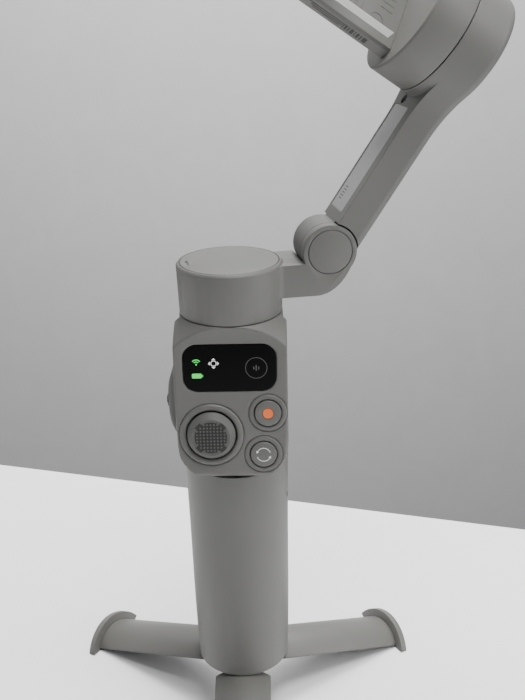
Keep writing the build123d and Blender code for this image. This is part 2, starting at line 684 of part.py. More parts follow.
with BuildPart() as pan_drum:
    with BuildSketch(Plane.XZ):
        with BuildLine():
            Polyline(
                (0, PAN_SEAM),
                (PAN_LOW_R, PAN_SEAM),
                (PAN_R, PAN_TOP - 1.0),
                (PAN_R - 0.7, PAN_TOP - 0.15),
                (0, PAN_TOP - 0.15),
                (0, PAN_SEAM),
            )
        make_face()
    revolve(axis=Axis.Z)
    with BuildSketch(HEAD_SIDE.offset(-ARM_HALF_W)):
        with BuildLine():
            Line((12.0, FOLD_Z - 15.9), (FOLD_X - 4.7, FOLD_Z - 16.2))
            Spline(
                (FOLD_X - 4.7, FOLD_Z - 16.2),
                (FOLD_X + 1.6, FOLD_Z - 14.0),
                (FOLD_X + 5.7, FOLD_Z - 9.8),
                (FOLD_X + 9.6, FOLD_Z - 1.6),
            )
            Polyline(
                (FOLD_X + 9.6, FOLD_Z - 1.6),
                (FOLD_X, FOLD_Z),
                (FOLD_X - 9.0, FOLD_Z - 3.8),
                (12.0, FOLD_Z - 3.8),
                (12.0, FOLD_Z - 15.9),
            )
        make_face()
    extrude(amount=2 * ARM_HALF_W)
    root = HEAD_X * BRACKET_ROOT + HEAD_Z * (FOLD_Z - 9.8)
    sides = [e for e in pan_drum.edges() if (e.center() - root - HEAD_Y * ARM_HALF_W).length < 1.5]
    sides += [e for e in pan_drum.edges() if (e.center() - root + HEAD_Y * ARM_HALF_W).length < 1.5]
    fillet(sides, radius=BRACKET_BLEND)
    with BuildSketch(ARM_SIDE.offset(-FOLD_SPLIT_Y)):
        Circle(FOLD_R)
    extrude(amount=ARM_HALF_W + FOLD_SPLIT_Y)
    with BuildSketch(ARM_SIDE.offset(-ARM_HALF_W - 1)):
        Circle(FOLD_R + SEAM)
    extrude(amount=ARM_HALF_W + 1 - FOLD_SPLIT_Y, mode=Mode.SUBTRACT)
    with BuildSketch(ARM_SIDE.offset(-FOLD_SPLIT_Y)):
        Circle(FOLD_PIN_R + SEAT)
    extrude(amount=ARM_HALF_W + FOLD_SPLIT_Y - 1.0, mode=Mode.SUBTRACT)
    with BuildSketch(ARM_SIDE.offset(ARM_HALF_W - 1.0)):
        Circle(FOLD_CAP_R + 0.2)
    extrude(amount=2.0, mode=Mode.SUBTRACT)
    # motor room, hub and cap seat
    with BuildSketch(Plane.XY.offset(PAN_SEAM - 1)):
        Circle(GRIP_BORE_R)
    extrude(amount=PAN_DECK - PAN_SEAM + 1, mode=Mode.SUBTRACT)
    with BuildSketch(Plane.XY.offset(PAN_DECK - 3.3)):
        Circle(BEARING_R + 1.8)
        Circle(BEARING_R + RUN, mode=Mode.SUBTRACT)
    extrude(amount=3.3)
    with BuildSketch(Plane.XY.offset(PAN_TOP - PAN_CAP_T)):
        Circle(PAN_CAP_R + 0.25)
    extrude(amount=5.0, mode=Mode.SUBTRACT)
save(pan_drum.part, "pan_drum")

with BuildPart() as pan_cap:
    with BuildSketch(Plane.XY.offset(PAN_TOP - PAN_CAP_T)):
        Circle(PAN_CAP_R)
    extrude(amount=PAN_CAP_T)
    with BuildSketch(HEAD_SIDE.offset(-3)):
        with Locations((-PAN_CAP_R + 2.6, PAN_TOP)):
            Rectangle(0.8, 1.2)
    extrude(amount=6, mode=Mode.SUBTRACT)
save(pan_cap.part, "pan_cap")

with BuildPart() as hinge_pin:
    with BuildSketch(ARM_SIDE.offset(-FOLD_BACK_Y + 0.4)):
        Circle(FOLD_PIN_R)
    extrude(amount=FOLD_BACK_Y + ARM_HALF_W - 1.6)
save(hinge_pin.part, "hinge_pin")

with BuildPart() as hinge_cap:
    with BuildSketch(ARM_SIDE.offset(ARM_HALF_W - 1.0)):
        Circle(FOLD_CAP_R)
    extrude(amount=1.1)
save(hinge_cap.part, "hinge_cap")

# ================= folding arm =================
with BuildPart() as arm_shell:
    with BuildSketch(TILT.offset(-ARM_OUT)):
        with Locations((-TILT_D / 2, 0)):
            Rectangle(TILT_D, 2 * ARM_HALF_W)
        Circle(TILT_R)
        fillet(vertices().sort_by_distance(TILT_O - ARM_D * 20)[0:2], radius=ARM_NECK_R)
    extrude(amount=ARM_OUT + ARM_IN)
    fillet(arm_shell.faces().sort_by(Axis(TILT_O, -ARM_N))[-1].edges(), radius=ARM_EDGE)
    with BuildSketch(TILT.offset(ARM_IN)):
        Circle(TILT_R)
    extrude(amount=TILT_SEAM - SEAM - ARM_IN)
    # room for the hinge, then the arm's own knuckle
    with BuildSketch(ARM_SIDE.offset(-ARM_HALF_W - 1)):
        Circle(FOLD_R + 0.62)
        with Locations((-30, 0)):
            Rectangle(60, 60)
    extrude(amount=2 * ARM_HALF_W + 2, mode=Mode.SUBTRACT)
    with BuildSketch(ARM_SIDE.offset(-FOLD_BACK_Y)):
        Circle(FOLD_R)
        with BuildLine():
            Polyline(
                (0, ARM_IN),
                (FOLD_R + 1.5, ARM_IN),
                (FOLD_R + 1.5, -ARM_OUT + 2.6),
                (6.5, -ARM_OUT + 2.6),
                (0, ARM_IN),
            )
        make_face()
    extrude(amount=FOLD_BACK_Y + FOLD_SPLIT_Y * -1 - 0.25)
    with BuildSketch(ARM_SIDE.offset(-ARM_HALF_W)):
        Circle(FOLD_PIN_R + RUN)
    extrude(amount=2 * ARM_HALF_W, mode=Mode.SUBTRACT)
    # motor room with its post
    with BuildSketch(TILT.offset(-ARM_OUT + 2.4)):
        Circle(TILT_R - TILT_WALL)
        Circle(POST_R, mode=Mode.SUBTRACT)
    extrude(amount=30, mode=Mode.SUBTRACT)
    with BuildSketch(TILT.offset(-ARM_OUT + 1)):
        Circle(POST_R)
    extrude(amount=ARM_OUT - 1 + TILT_FACE - 2.4)
    # cable channel along the arm
    with BuildSketch(TILT.offset(-ARM_OUT + 3.6)):
        with Locations((-TILT_R - 16, 0)):
            Rectangle(TILT_D - TILT_R - 12, 9.0)
    extrude(amount=5.0, mode=Mode.SUBTRACT)
    # recesses of the label plate and of the screw
    with BuildSketch(TILT.offset(ARM_IN - 0.5)):
        with Locations((14.0 + 21.5 - TILT_D, 1.6)):
            RectangleRounded(43.0 + 2 * SEAT, 13.6 + 2 * SEAT, 1.0)
    extrude(amount=0.5, mode=Mode.SUBTRACT)
    with BuildSketch(TILT.offset(ARM_IN - 1.8)):
        with Locations((59.6 - TILT_D, 3.0)):
            Circle(1.9)
    extrude(amount=1.8, mode=Mode.SUBTRACT)
save(arm_shell.part, "arm_shell")

with BuildPart() as arm_label:
    with BuildSketch(TILT.offset(ARM_IN - 0.5)):
        with Locations((14.0 + 21.5 - TILT_D, 1.6)):
            RectangleRounded(43.0, 13.6, 0.9)
    extrude(amount=0.4)
save(arm_label.part, "arm_label")

with BuildPart() as arm_screw:
    with BuildSketch(TILT.offset(ARM_IN - 1.8)):
        with Locations((59.6 - TILT_D, 3.0)):
            Circle(1.8)
    extrude(amount=1.1)
    with BuildSketch(TILT.offset(ARM_IN - 1.2)):
        with Locations((59.6 - TILT_D, 3.0)):
            RegularPolygon(0.9, 6)
    extrude(amount=1.0, mode=Mode.SUBTRACT)
save(arm_screw.part, "arm_screw")

save(stator_core(TILT, TILT_SEAM + 0.6, TILT_FACE - 5.8, POST_R, 17.2), "tilt_stator")
save(ring(TILT, -ARM_OUT + 4.4, -ARM_OUT + 6.0, POST_R + 0.5, 15.0), "tilt_board")

# ================= tilt rotor and roll bar =================
TILT_DECK = TILT_FACE - 2.0
save(
    ring(TILT, TILT_SEAM + 0.4, TILT_DECK - 3.0, 17.2 + AIR_GAP, TILT_R - TILT_WALL - 0.1),
    "tilt_magnets",
)

with BuildPart() as tilt_drum:
    with BuildSketch(TILT.offset(TILT_SEAM)):
        Circle(TILT_R)
        Circle(TILT_R - TILT_WALL, mode=Mode.SUBTRACT)
    extrude(amount=TILT_DECK - TILT_SEAM)
    with BuildSketch(TILT.offset(TILT_DECK)):
        Circle(TILT_R)
    extrude(amount=TILT_FACE - TILT_DECK)
    fillet(tilt_drum.faces().sort_by(Axis(TILT_O, ARM_N))[-1].edges(), radius=0.9)
    with BuildSketch(TILT.offset(TILT_DECK - 2.6)):
        Circle(POST_R + 2.6)
        Circle(POST_R + RUN, mode=Mode.SUBTRACT)
    extrude(amount=2.6)
save(tilt_drum.part, "tilt_drum")

with BuildPart() as roll_bar:
    with BuildSketch(BAR.offset(TILT_FACE)):
        with Locations((0, BAR_FRONT + (BAR_T - BAR_COVER_T) / 2)):
            Rectangle(2 * BAR_HALF_W, BAR_T - BAR_COVER_T)
    extrude(amount=ROLL_N - TILT_FACE)
    with BuildSketch(ROLL):
        Circle(BAR_HALF_W)
    extrude(amount=-BAR_T + BAR_COVER_T)
    front_edges = roll_bar.faces().sort_by(Axis(ROLL.origin, ROLL.z_dir))[-1].edges()
    chamfer(front_edges.filter_by(GeomType.LINE).filter_by(Axis(TILT_O, ARM_N)), length=0.8)
    with BuildSketch(ROLL):
        Circle(ROLL_POST_R)
    extrude(amount=ROLL_DECK - 2.5)
    # cable channel behind the cover
    with BuildSketch(BAR.offset(TILT_FACE + 4)):
        with Locations((0, BAR_FRONT + BAR_T - BAR_COVER_T)):
            Rectangle(22.0, 5.0)
    extrude(amount=ROLL_N - TILT_FACE - 24, mode=Mode.SUBTRACT)
save(roll_bar.part, "roll_bar")

with BuildPart() as bar_cover:
    with BuildSketch(ROLL.offset(-BAR_T + BAR_COVER_T)):
        Circle(BAR_HALF_W - 0.6)
        with Locations((0, -(ROLL_N - TILT_FACE) / 2)):
            Rectangle(2 * BAR_HALF_W - 1.2, ROLL_N - TILT_FACE - 0.4)
    extrude(amount=-BAR_COVER_T)
    chamfer(bar_cover.faces().sort_by(Axis(ROLL.origin, ROLL.z_dir))[0].edges(), length=0.5)
save(bar_cover.part, "bar_cover")

with BuildPart() as bar_label:
    with BuildSketch(Plane(origin=TILT_O - BAR_W * BAR_HALF_W, x_dir=ARM_N, z_dir=-BAR_W)):
        with Locations((TILT_FACE + 4.5 + 20, -BAR_FRONT - 2.9)):
            Rectangle(40.0, 3.4)
    extrude(amount=0.08)
save(bar_label.part, "bar_label")

save(stator_core(ROLL, 1.2, 7.2, ROLL_POST_R, 11.6), "roll_stator")
save(ring(ROLL, 1.0, 7.6, 11.6 + AIR_GAP, 14.2), "roll_magnets")

with BuildPart() as roll_rotor:
    with BuildSketch(ROLL.offset(SEAM)):
        Circle(ROLL_R)
    extrude(amount=ROLL_DECK - SEAM)
    fillet(roll_rotor.faces().sort_by(Axis(ROLL.origin, ROLL.z_dir))[-1].edges(), radius=0.8)
    with BuildSketch(ROLL):
        Circle(14.3)
    extrude(amount=ROLL_DECK - 2.0, mode=Mode.SUBTRACT)
    with BuildSketch(ROLL.offset(ROLL_DECK - 4.0)):
        Circle(ROLL_POST_R + 2.2)
        Circle(ROLL_POST_R + RUN, mode=Mode.SUBTRACT)
    extrude(amount=2.0)
save(roll_rotor.part, "roll_rotor")

# ================= magnetic phone clamp =================
with BuildPart() as clamp_body:
    with BuildSketch(ROLL.offset(ROLL_DECK + 0.2)):
        Circle(14.6)
    extrude(amount=CLAMP_BACK - ROLL_DECK - 0.2)
    with BuildSketch(ROLL.offset(CLAMP_BACK)):
        with Locations((0, -2.15)):
            RectangleRounded(2 * CLAMP_HALF_W, 2 * CLAMP_HALF_L - 4.3, 2.0)
    extrude(amount=CLAMP_FRONT - CLAMP_BACK)
    with BuildSketch(ROLL.offset(CLAMP_FRONT)):
        with Locations((0, -CLAMP_HALF_L + JAW_T / 2)):
            RectangleRounded(2 * CLAMP_HALF_W, JAW_T, 1.0)
    extrude(amount=JAW_REACH)
    with BuildSketch(ROLL.offset(CLAMP_FRONT + JAW_REACH - 1.6)):
        with Locations((0, -CLAMP_HALF_L + JAW_T / 2 + 1.0)):
            RectangleRounded(2 * CLAMP_HALF_W, JAW_T + 2.0, 1.0)
    extrude(amount=1.6)
    with BuildSketch(Plane(origin=ROLL.origin, x_dir=BAR_W, z_dir=ARM_N).offset(-CLAMP_HALF_L + 8)):
        with Locations((CLAMP_ROD_X, -17.5), (-CLAMP_ROD_X, -17.5)):
            Circle(CLAMP_ROD_R + RUN)
    extrude(amount=2 * CLAMP_HALF_L, mode=Mode.SUBTRACT)
    with BuildSketch(ROLL.offset(ROLL_DECK + 0.2)):
        Circle(13.0)
        Circle(8.5, mode=Mode.SUBTRACT)
    extrude(amount=1.6, mode=Mode.SUBTRACT)
save(clamp_body.part, "clamp_body")

save(ring(ROLL, ROLL_DECK + 0.25, ROLL_DECK + 1.75, 8.55, 12.95), "clamp_magnets")

with BuildPart() as clamp_jaw:
    with BuildSketch(ROLL.offset(CLAMP_BACK)):
        with Locations((0, CLAMP_HALF_L - JAW_T / 2)):
            RectangleRounded(2 * CLAMP_HALF_W, JAW_T, 1.0)
    extrude(amount=CLAMP_FRONT - CLAMP_BACK + JAW_REACH)
    with BuildSketch(ROLL.offset(CLAMP_FRONT + JAW_REACH - 1.6)):
        with Locations((0, CLAMP_HALF_L - JAW_T / 2 - 1.0)):
            RectangleRounded(2 * CLAMP_HALF_W, JAW_T + 2.0, 1.0)
    extrude(amount=1.6)
    with BuildSketch(Plane(origin=ROLL.origin, x_dir=BAR_W, z_dir=ARM_N).offset(-CLAMP_HALF_L + 11)):
        with Locations((CLAMP_ROD_X, -17.5), (-CLAMP_ROD_X, -17.5)):
            Circle(CLAMP_ROD_R)
    extrude(amount=2 * CLAMP_HALF_L - JAW_T / 2 - 11)
save(clamp_jaw.part, "clamp_jaw")

pad_names = {"clamp_pad_fixed": -1.0, "clamp_pad_moving": 1.0}
for pad_name, sign in pad_names.items():
    with BuildPart() as clamp_pad:
        with BuildSketch(ROLL.offset(CLAMP_FRONT + 0.4)):
            with Locations((0, sign * (CLAMP_HALF_L - JAW_T - PAD_T / 2))):
                Rectangle(2 * CLAMP_HALF_W - 5.0, PAD_T)
        extrude(amount=JAW_REACH - 2.4)
    save(clamp_pad.part, pad_name)
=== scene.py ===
import json
import math
import bmesh
import bpy
from mathutils import Matrix, Vector


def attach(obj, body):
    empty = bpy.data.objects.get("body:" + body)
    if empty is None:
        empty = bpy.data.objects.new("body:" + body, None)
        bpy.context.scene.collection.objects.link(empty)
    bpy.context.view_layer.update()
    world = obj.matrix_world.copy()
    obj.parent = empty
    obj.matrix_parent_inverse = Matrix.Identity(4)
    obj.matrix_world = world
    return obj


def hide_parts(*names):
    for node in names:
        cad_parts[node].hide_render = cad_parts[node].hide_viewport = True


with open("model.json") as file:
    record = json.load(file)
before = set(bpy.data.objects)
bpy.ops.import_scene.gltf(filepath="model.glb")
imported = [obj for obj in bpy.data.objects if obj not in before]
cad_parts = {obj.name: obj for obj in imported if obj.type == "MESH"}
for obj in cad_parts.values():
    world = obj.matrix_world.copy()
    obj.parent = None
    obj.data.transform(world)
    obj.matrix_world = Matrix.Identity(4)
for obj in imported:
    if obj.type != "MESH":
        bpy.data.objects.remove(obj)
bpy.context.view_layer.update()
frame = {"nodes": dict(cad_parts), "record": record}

NODES = frame["nodes"]
MM = 0.001

# ---------------------------------------------------------------- reference frames
V = Vector


class Pad:
    """A local drawing plane: x and y in millimetres on the surface, z in millimetres above it."""

    def __init__(self, origin, x, z):
        self.o, self.x, self.z = V(origin), V(x).normalized(), V(z).normalized()
        self.y = self.z.cross(self.x)

    def at(self, x, y, z=0.0):
        return (self.o + self.x * x + self.y * y + self.z * z) * MM


LEAN = math.radians(7.0)
FACE = Pad((0, -21.8, 138.2), (1, 0, 0), (0, -math.cos(LEAN), math.sin(LEAN)))
TURN = math.radians(12.0)
HX = V((math.cos(TURN), math.sin(TURN), 0))
HY = V((-math.sin(TURN), math.cos(TURN), 0))
HZ = V((0, 0, 1))
RISE = math.radians(55.85)
D = HX * math.cos(RISE) + HZ * math.sin(RISE)
N = HZ * math.cos(RISE) - HX * math.sin(RISE)
HINGE = HX * 35.69 + HZ * 201.24
TILT_O = HINGE + D * 83.8
SWING = math.radians(35.0)
BW = D * math.cos(SWING) + HY * math.sin(SWING)
BB = HY * math.cos(SWING) - D * math.sin(SWING)
BAR_FRONT = Pad(TILT_O + BB * 1.8, BW, -BB)
BAR_LOW = Pad(TILT_O - BW * 17.4 + BB * 4.7, N, -BW)
ARM_INNER = Pad(TILT_O + N * 3.32, D, N)

# ---------------------------------------------------------------- camera
CAM_POS = V((19.28, -330.69, 297.16)) * MM
PITCH, AIM, ROLL = math.radians(22.123), math.radians(-1.370), math.radians(-1.488)
FWD = V((math.sin(AIM) * math.cos(PITCH), math.cos(AIM) * math.cos(PITCH), -math.sin(PITCH)))
RIGHT0 = V((math.cos(AIM), -math.sin(AIM), 0))
UP0 = RIGHT0.cross(FWD)
RIGHT = RIGHT0 * math.cos(ROLL) + UP0 * math.sin(ROLL)
UP = UP0 * math.cos(ROLL) - RIGHT0 * math.sin(ROLL)
cam_data = bpy.data.cameras.new("camera")
cam_data.lens = 940.0 * 36.0 / 700.0
cam_data.sensor_width = 36.0
cam_data.clip_start = 0.01
camera = bpy.data.objects.new("camera", cam_data)
bpy.context.scene.collection.objects.link(camera)
basis = Matrix((RIGHT, UP, -FWD)).transposed().to_4x4()
basis.translation = CAM_POS
camera.matrix_world = basis
bpy.context.scene.camera = camera


# ---------------------------------------------------------------- materials
def material(name, base, rough=0.5, metal=0.0, grain=900.0, bump=0.25, depth=0.00006, tone=0.06,
             coat=0.0, bevel=0.0, emission=None, glow=0.0, blotch=35.0, spec=0.5):
    """Moulded or machined surface: fine grain relief, soft tone drift, roughness drift."""
    mat = bpy.data.materials.new(name)
    mat.use_nodes = True
    nt = mat.node_tree
    bsdf = nt.nodes["Principled BSDF"]
    bsdf.inputs["Metallic"].default_value = metal
    bsdf.inputs["Specular IOR Level"].default_value = spec
    bsdf.inputs["Coat Weight"].default_value = coat
    bsdf.inputs["Coat Roughness"].default_value = 0.08
    geo = nt.nodes.new("ShaderNodeTexCoord")
    drift = nt.nodes.new("ShaderNodeTexNoise")
    drift.inputs["Scale"].default_value = blotch
    drift.inputs["Detail"].default_value = 3.0
    nt.links.new(geo.outputs["Object"], drift.inputs["Vector"])
    ramp = nt.nodes.new("ShaderNodeValToRGB")
    lo = [max(0.0, c * (1 - tone)) for c in base]
    hi = [min(1.0, c * (1 + tone)) for c in base]
    ramp.color_ramp.elements[0].position = 0.3
    ramp.color_ramp.elements[1].position = 0.7
    ramp.color_ramp.elements[0].color = (*lo, 1)
    ramp.color_ramp.elements[1].color = (*hi, 1)
    nt.links.new(drift.outputs["Fac"], ramp.inputs["Fac"])
    nt.links.new(ramp.outputs["Color"], bsdf.inputs["Base Color"])
    fine = nt.nodes.new("ShaderNodeTexNoise")
    fine.inputs["Scale"].default_value = grain
    fine.inputs["Detail"].default_value = 2.0
    nt.links.new(geo.outputs["Object"], fine.inputs["Vector"])
    span = nt.nodes.new("ShaderNodeMapRange")
    span.inputs["To Min"].default_value = max(0.02, rough - 0.05)
    span.inputs["To Max"].default_value = min(1.0, rough + 0.07)
    nt.links.new(fine.outputs["Fac"], span.inputs["Value"])
    nt.links.new(span.outputs["Result"], bsdf.inputs["Roughness"])
    relief = nt.nodes.new("ShaderNodeBump")
    relief.inputs["Strength"].default_value = bump
    relief.inputs["Distance"].default_value = depth
    nt.links.new(fine.outputs["Fac"], relief.inputs["Height"])
    nt.links.new(relief.outputs["Normal"], bsdf.inputs["Normal"])
    if bevel:
        edge = nt.nodes.new("ShaderNodeBevel")
        edge.samples = 4
        edge.inputs["Radius"].default_value = bevel * MM
        nt.links.new(edge.outputs["Normal"], relief.inputs["Normal"])
    if emission:
        bsdf.inputs["Emission Color"].default_value = (*emission, 1)
        bsdf.inputs["Emission Strength"].default_value = glow
    return mat


SHELL = (0.118, 0.117, 0.109)
M = {
    "shell": material("shell_plastic", SHELL, 0.5, grain=2600, bump=0.2, bevel=0.5, tone=0.03, spec=0.45),
    "shell_dark": material("shell_plastic_edge", (0.104, 0.103, 0.096), 0.52, grain=2600, bump=0.2, bevel=0.4,
                           tone=0.04, spec=0.4),
    "trim": material("trim_plastic", (0.11, 0.109, 0.102), 0.46, grain=2600, bump=0.2, bevel=0.35, tone=0.04),
    "stick": material("stick_rubber", (0.085, 0.084, 0.08), 0.62, grain=2200, bump=0.35, bevel=0.3,
                          tone=0.06),
    "stick_dark": material("stick_rubber_dark", (0.026, 0.026, 0.025), 0.7, grain=2200, bump=0.4, tone=0.1),
    "key": material("key_plastic", (0.108, 0.107, 0.1), 0.42, grain=2400, bump=0.2, bevel=0.3, tone=0.04),
    "glass": material("panel_gloss", (0.0008, 0.0008, 0.0009), 0.16, grain=300, bump=0.01, tone=0.2, coat=0.0,
                      bevel=0.15, spec=0.14),
    "orange": material("record_orange", (0.78, 0.16, 0.03), 0.42, grain=2000, bump=0.15, tone=0.06),
    "dark": material("dark_plastic", (0.02, 0.02, 0.021), 0.55, grain=1800, bump=0.3, bevel=0.3, tone=0.12),
    "wheel": material("wheel_rubber", (0.035, 0.035, 0.034), 0.6, grain=1500, bump=0.3, bevel=0.2, tone=0.12),
    "board": material("board_mask", (0.012, 0.09, 0.035), 0.35, grain=700, bump=0.2, tone=0.15),
    "cell": material("cell_wrap", (0.06, 0.16, 0.34), 0.35, grain=500, bump=0.1, tone=0.05),
    "steel": material("ground_steel", (0.5, 0.51, 0.53), 0.3, 1.0, grain=1600, bump=0.2, tone=0.06,
                          bevel=0.15),
    "core": material("motor_core", (0.3, 0.22, 0.16), 0.45, 1.0, grain=900, bump=0.4, tone=0.15),
    "rod": material("rod_anodised", (0.42, 0.42, 0.42), 0.36, 1.0, grain=1400, bump=0.15, tone=0.04,
                          bevel=0.15),
    "brass": material("insert_brass", (0.62, 0.43, 0.16), 0.33, 1.0, grain=900, bump=0.2, tone=0.08),
    "pad": material("jaw_pad_rubber", (0.02, 0.02, 0.02), 0.8, grain=1300, bump=0.6, depth=0.0001, tone=0.15),
    "label": material("label_film", (0.62, 0.62, 0.6), 0.38, grain=800, bump=0.05, tone=0.02),
    "plate": material("label_plate", (0.27, 0.265, 0.262), 0.3, grain=900, bump=0.08, tone=0.04, bevel=0.2),
    "ink": material("label_ink", (0.02, 0.02, 0.02), 0.5, grain=800, bump=0.05, tone=0.1),
    "white": material("print_white", (0.8, 0.8, 0.79), 0.5, grain=1500, bump=0.05, tone=0.02),
    "green_lit": material("icon_green", (0.02, 0.2, 0.03), 0.4, emission=(0.05, 0.75, 0.1), glow=1.3),
    "white_lit": material("icon_white", (0.4, 0.4, 0.4), 0.4, emission=(0.75, 0.78, 0.75), glow=0.9),
    "dim_lit": material("icon_dim", (0.05, 0.05, 0.05), 0.4, emission=(0.07, 0.07, 0.07), glow=0.2),
}

LOOK = {
    "shell": "grip_shell pod_shell pan_drum pan_cap arm_shell tilt_drum roll_bar bar_cover roll_rotor "
             "leg_front leg_left leg_right base_cap trigger",
    "shell_dark": "foot_front foot_left foot_right hinge_cap",
    "trim": "joystick_ring button_bezels",
    "stick": "joystick_cap",
    "key": "record_button switch_button",
    "glass": "panel_glass",
    "orange": "record_dot",
    "dark": "joystick_base joystick_yoke tripod_carriage clamp_body clamp_jaw battery_tube",
    "wheel": "side_wheel",
    "board": "main_board tilt_board",
    "cell": "battery_cell",
    "steel": "wheel_axle trigger_pin leg_pins hinge_pin arm_screw pan_bearing clamp_magnets pan_magnets "
             "tilt_magnets roll_magnets usb_socket",
    "core": "pan_stator tilt_stator roll_stator",
    "rod": "rod_sleeve rod_stage_1 rod_stage_2 rod_stage_3 pan_base",
    "brass": "thread_insert",
    "pad": "clamp_pad_fixed clamp_pad_moving",
    "label": "bar_label",
    "plate": "arm_label",
}
for key, names in LOOK.items():
    for name in names.split():
        obj = NODES[name]
        obj.data.materials.clear()
        obj.data.materials.append(M[key])
BODY_OF = {n: b for b, ns in frame["record"]["behaviour"]["bodies"].items() for n in ns}


# ---------------------------------------------------------------- mesh helpers
def put(name, mesh, mat, body, smooth=35.0):
    """Adds one finished piece that rides on a body."""
    for p in mesh.polygons:
        p.use_smooth = True
    mesh.set_sharp_from_angle(angle=math.radians(smooth))
    obj = bpy.data.objects.new(name, mesh)
    bpy.context.scene.collection.objects.link(obj)
    mesh.materials.append(mat)
    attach(obj, body)
    return obj


def refine(node, mat, width, segments=2, angle=32.0, name=None):
    """A copy of a CAD node with clean faces and rounded edges, which stands for the node."""
    src = NODES[node]
    bm = bmesh.new()
    bm.from_mesh(src.data)
    bmesh.ops.remove_doubles(bm, verts=bm.verts, dist=1e-6)
    bmesh.ops.dissolve_limit(bm, angle_limit=math.radians(0.6), verts=bm.verts, edges=bm.edges)
    sharp = [e for e in bm.edges if len(e.link_faces) == 2 and e.calc_face_angle() > math.radians(angle)]
    bmesh.ops.bevel(bm, geom=sharp, offset=width * MM, offset_type="OFFSET", segments=segments, profile=0.5,
                    affect="EDGES", clamp_overlap=True)
    mesh = bpy.data.meshes.new(name or node + "_skin")
    bm.to_mesh(mesh)
    bm.free()
    obj = put(name or node + "_skin", mesh, mat, BODY_OF[node], smooth=40.0)
    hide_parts(node)
    return obj


def prism(bm, pad, outline, low, high):
    """Solid with a polygon outline between two heights on a pad."""
    top = [bm.verts.new(pad.at(x, y, high)) for x, y in outline]
    bot = [bm.verts.new(pad.at(x, y, low)) for x, y in outline]
    n = len(outline)
    bm.faces.new(top)
    bm.faces.new(list(reversed(bot)))
    for i in range(n):
        j = (i + 1) % n
        bm.faces.new((bot[i], bot[j], top[j], top[i]))


def band(bm, pad, cx, cy, r0, r1, low, high, a0=0.0, a1=360.0, steps=64):
    """Flat ring or arc band."""
    full = abs(a1 - a0) >= 359.9
    count = steps if full else steps + 1
    rows = []
    for i in range(count):
        a = math.radians(a0 + (a1 - a0) * i / steps)
        c, s = math.cos(a), math.sin(a)
        corners = ((r0, low), (r1, low), (r1, high), (r0, high))
        rows.append([bm.verts.new(pad.at(cx + r * c, cy + r * s, h)) for r, h in corners])
    last = count if full else count - 1
    for i in range(last):
        a, b = rows[i], rows[(i + 1) % count]
        for k in range(4):
            bm.faces.new((a[k], a[(k + 1) % 4], b[(k + 1) % 4], b[k]))
    if not full:
        bm.faces.new(rows[0])
        bm.faces.new(list(reversed(rows[-1])))


def disc_outline(cx, cy, r, steps=28):
    turns = [2 * math.pi * i / steps for i in range(steps)]
    return [(cx + r * math.cos(a), cy + r * math.sin(a)) for a in turns]


def round_rect(cx, cy, w, h, r, steps=6):
    pts = []
    for sx, sy, a0 in ((1, 1, 0), (-1, 1, 90), (-1, -1, 180), (1, -1, 270)):
        for i in range(steps + 1):
            a = math.radians(a0 + 90 * i / steps)
            pts.append((cx + sx * (w / 2 - r) + r * math.cos(a), cy + sy * (h / 2 - r) + r * math.sin(a)))
    return pts


def made(name, build, mat, body, smooth=35.0):
    """Runs a builder on an empty bmesh and adds the result as a piece."""
    bm = bmesh.new()
    build(bm)
    bmesh.ops.recalc_face_normals(bm, faces=bm.faces)
    mesh = bpy.data.meshes.new(name)
    bm.to_mesh(mesh)
    bm.free()
    return put(name, mesh, mat, body, smooth)


# ---------------------------------------------------------------- shells with rounded edges
for node, width in (("pan_drum", 0.5), ("pan_cap", 0.3), ("tilt_drum", 0.4), ("roll_rotor", 0.4),
                    ("leg_front", 0.5), ("leg_left", 0.5), ("leg_right", 0.5), ("hinge_cap", 0.25)):
    refine(node, M["shell"], width)
for node in ("foot_front", "foot_left", "foot_right"):
    refine(node, M["shell"], 0.8, segments=3)
for node in ("clamp_body", "clamp_jaw"):
    refine(node, M["dark"], 0.6, segments=3)
for node in ("joystick_ring", "button_bezels"):
    refine(node, M["trim"], 0.35)
for node in ("record_button", "switch_button"):
    refine(node, M["key"], 0.45, segments=3)

# ---------------------------------------------------------------- softened pod
pod = NODES["pod_shell"]
even = pod.modifiers.new("even", "REMESH")
even.mode = "VOXEL"
even.voxel_size = 0.32 * MM
even.use_smooth_shade = True
soften = pod.modifiers.new("soften", "SMOOTH")
soften.factor = 0.5
soften.iterations = 10

# ---------------------------------------------------------------- panel icons
GLASS_TOP = 0.2 + 0.01


def wireless_icon(bm):
    for r in (0.0, 1.0, 1.75):
        if r == 0.0:
            prism(bm, FACE, disc_outline(-12.3, 27.0, 0.32, 16), GLASS_TOP, GLASS_TOP + 0.02)
        else:
            band(bm, FACE, -12.3, 27.0, r - 0.18, r + 0.18, GLASS_TOP, GLASS_TOP + 0.02, 40, 140, 14)


def battery_icon(bm):
    cx, cy = -12.2, 22.7
    prism(bm, FACE, round_rect(cx, cy, 3.6, 1.8, 0.5, 5), GLASS_TOP, GLASS_TOP + 0.02)
    prism(bm, FACE, round_rect(cx + 2.1, cy, 0.3, 0.8, 0.1, 2), GLASS_TOP, GLASS_TOP + 0.02)


def mode_icon(bm):
    cx, cy = -6.0, 27.3
    for k in range(4):
        a = math.radians(90 * k)
        tip = (cx + 2.0 * math.cos(a), cy + 2.0 * math.sin(a))
        side = (-math.sin(a), math.cos(a))
        base = (cx + 1.25 * math.cos(a), cy + 1.25 * math.sin(a))
        prism(bm, FACE, [tip, (base[0] + 0.75 * side[0], base[1] + 0.75 * side[1]),
                         (base[0] - 0.75 * side[0], base[1] - 0.75 * side[1])], GLASS_TOP, GLASS_TOP + 0.02)
    band(bm, FACE, cx, cy, 0.85, 1.1, GLASS_TOP, GLASS_TOP + 0.02, steps=24)


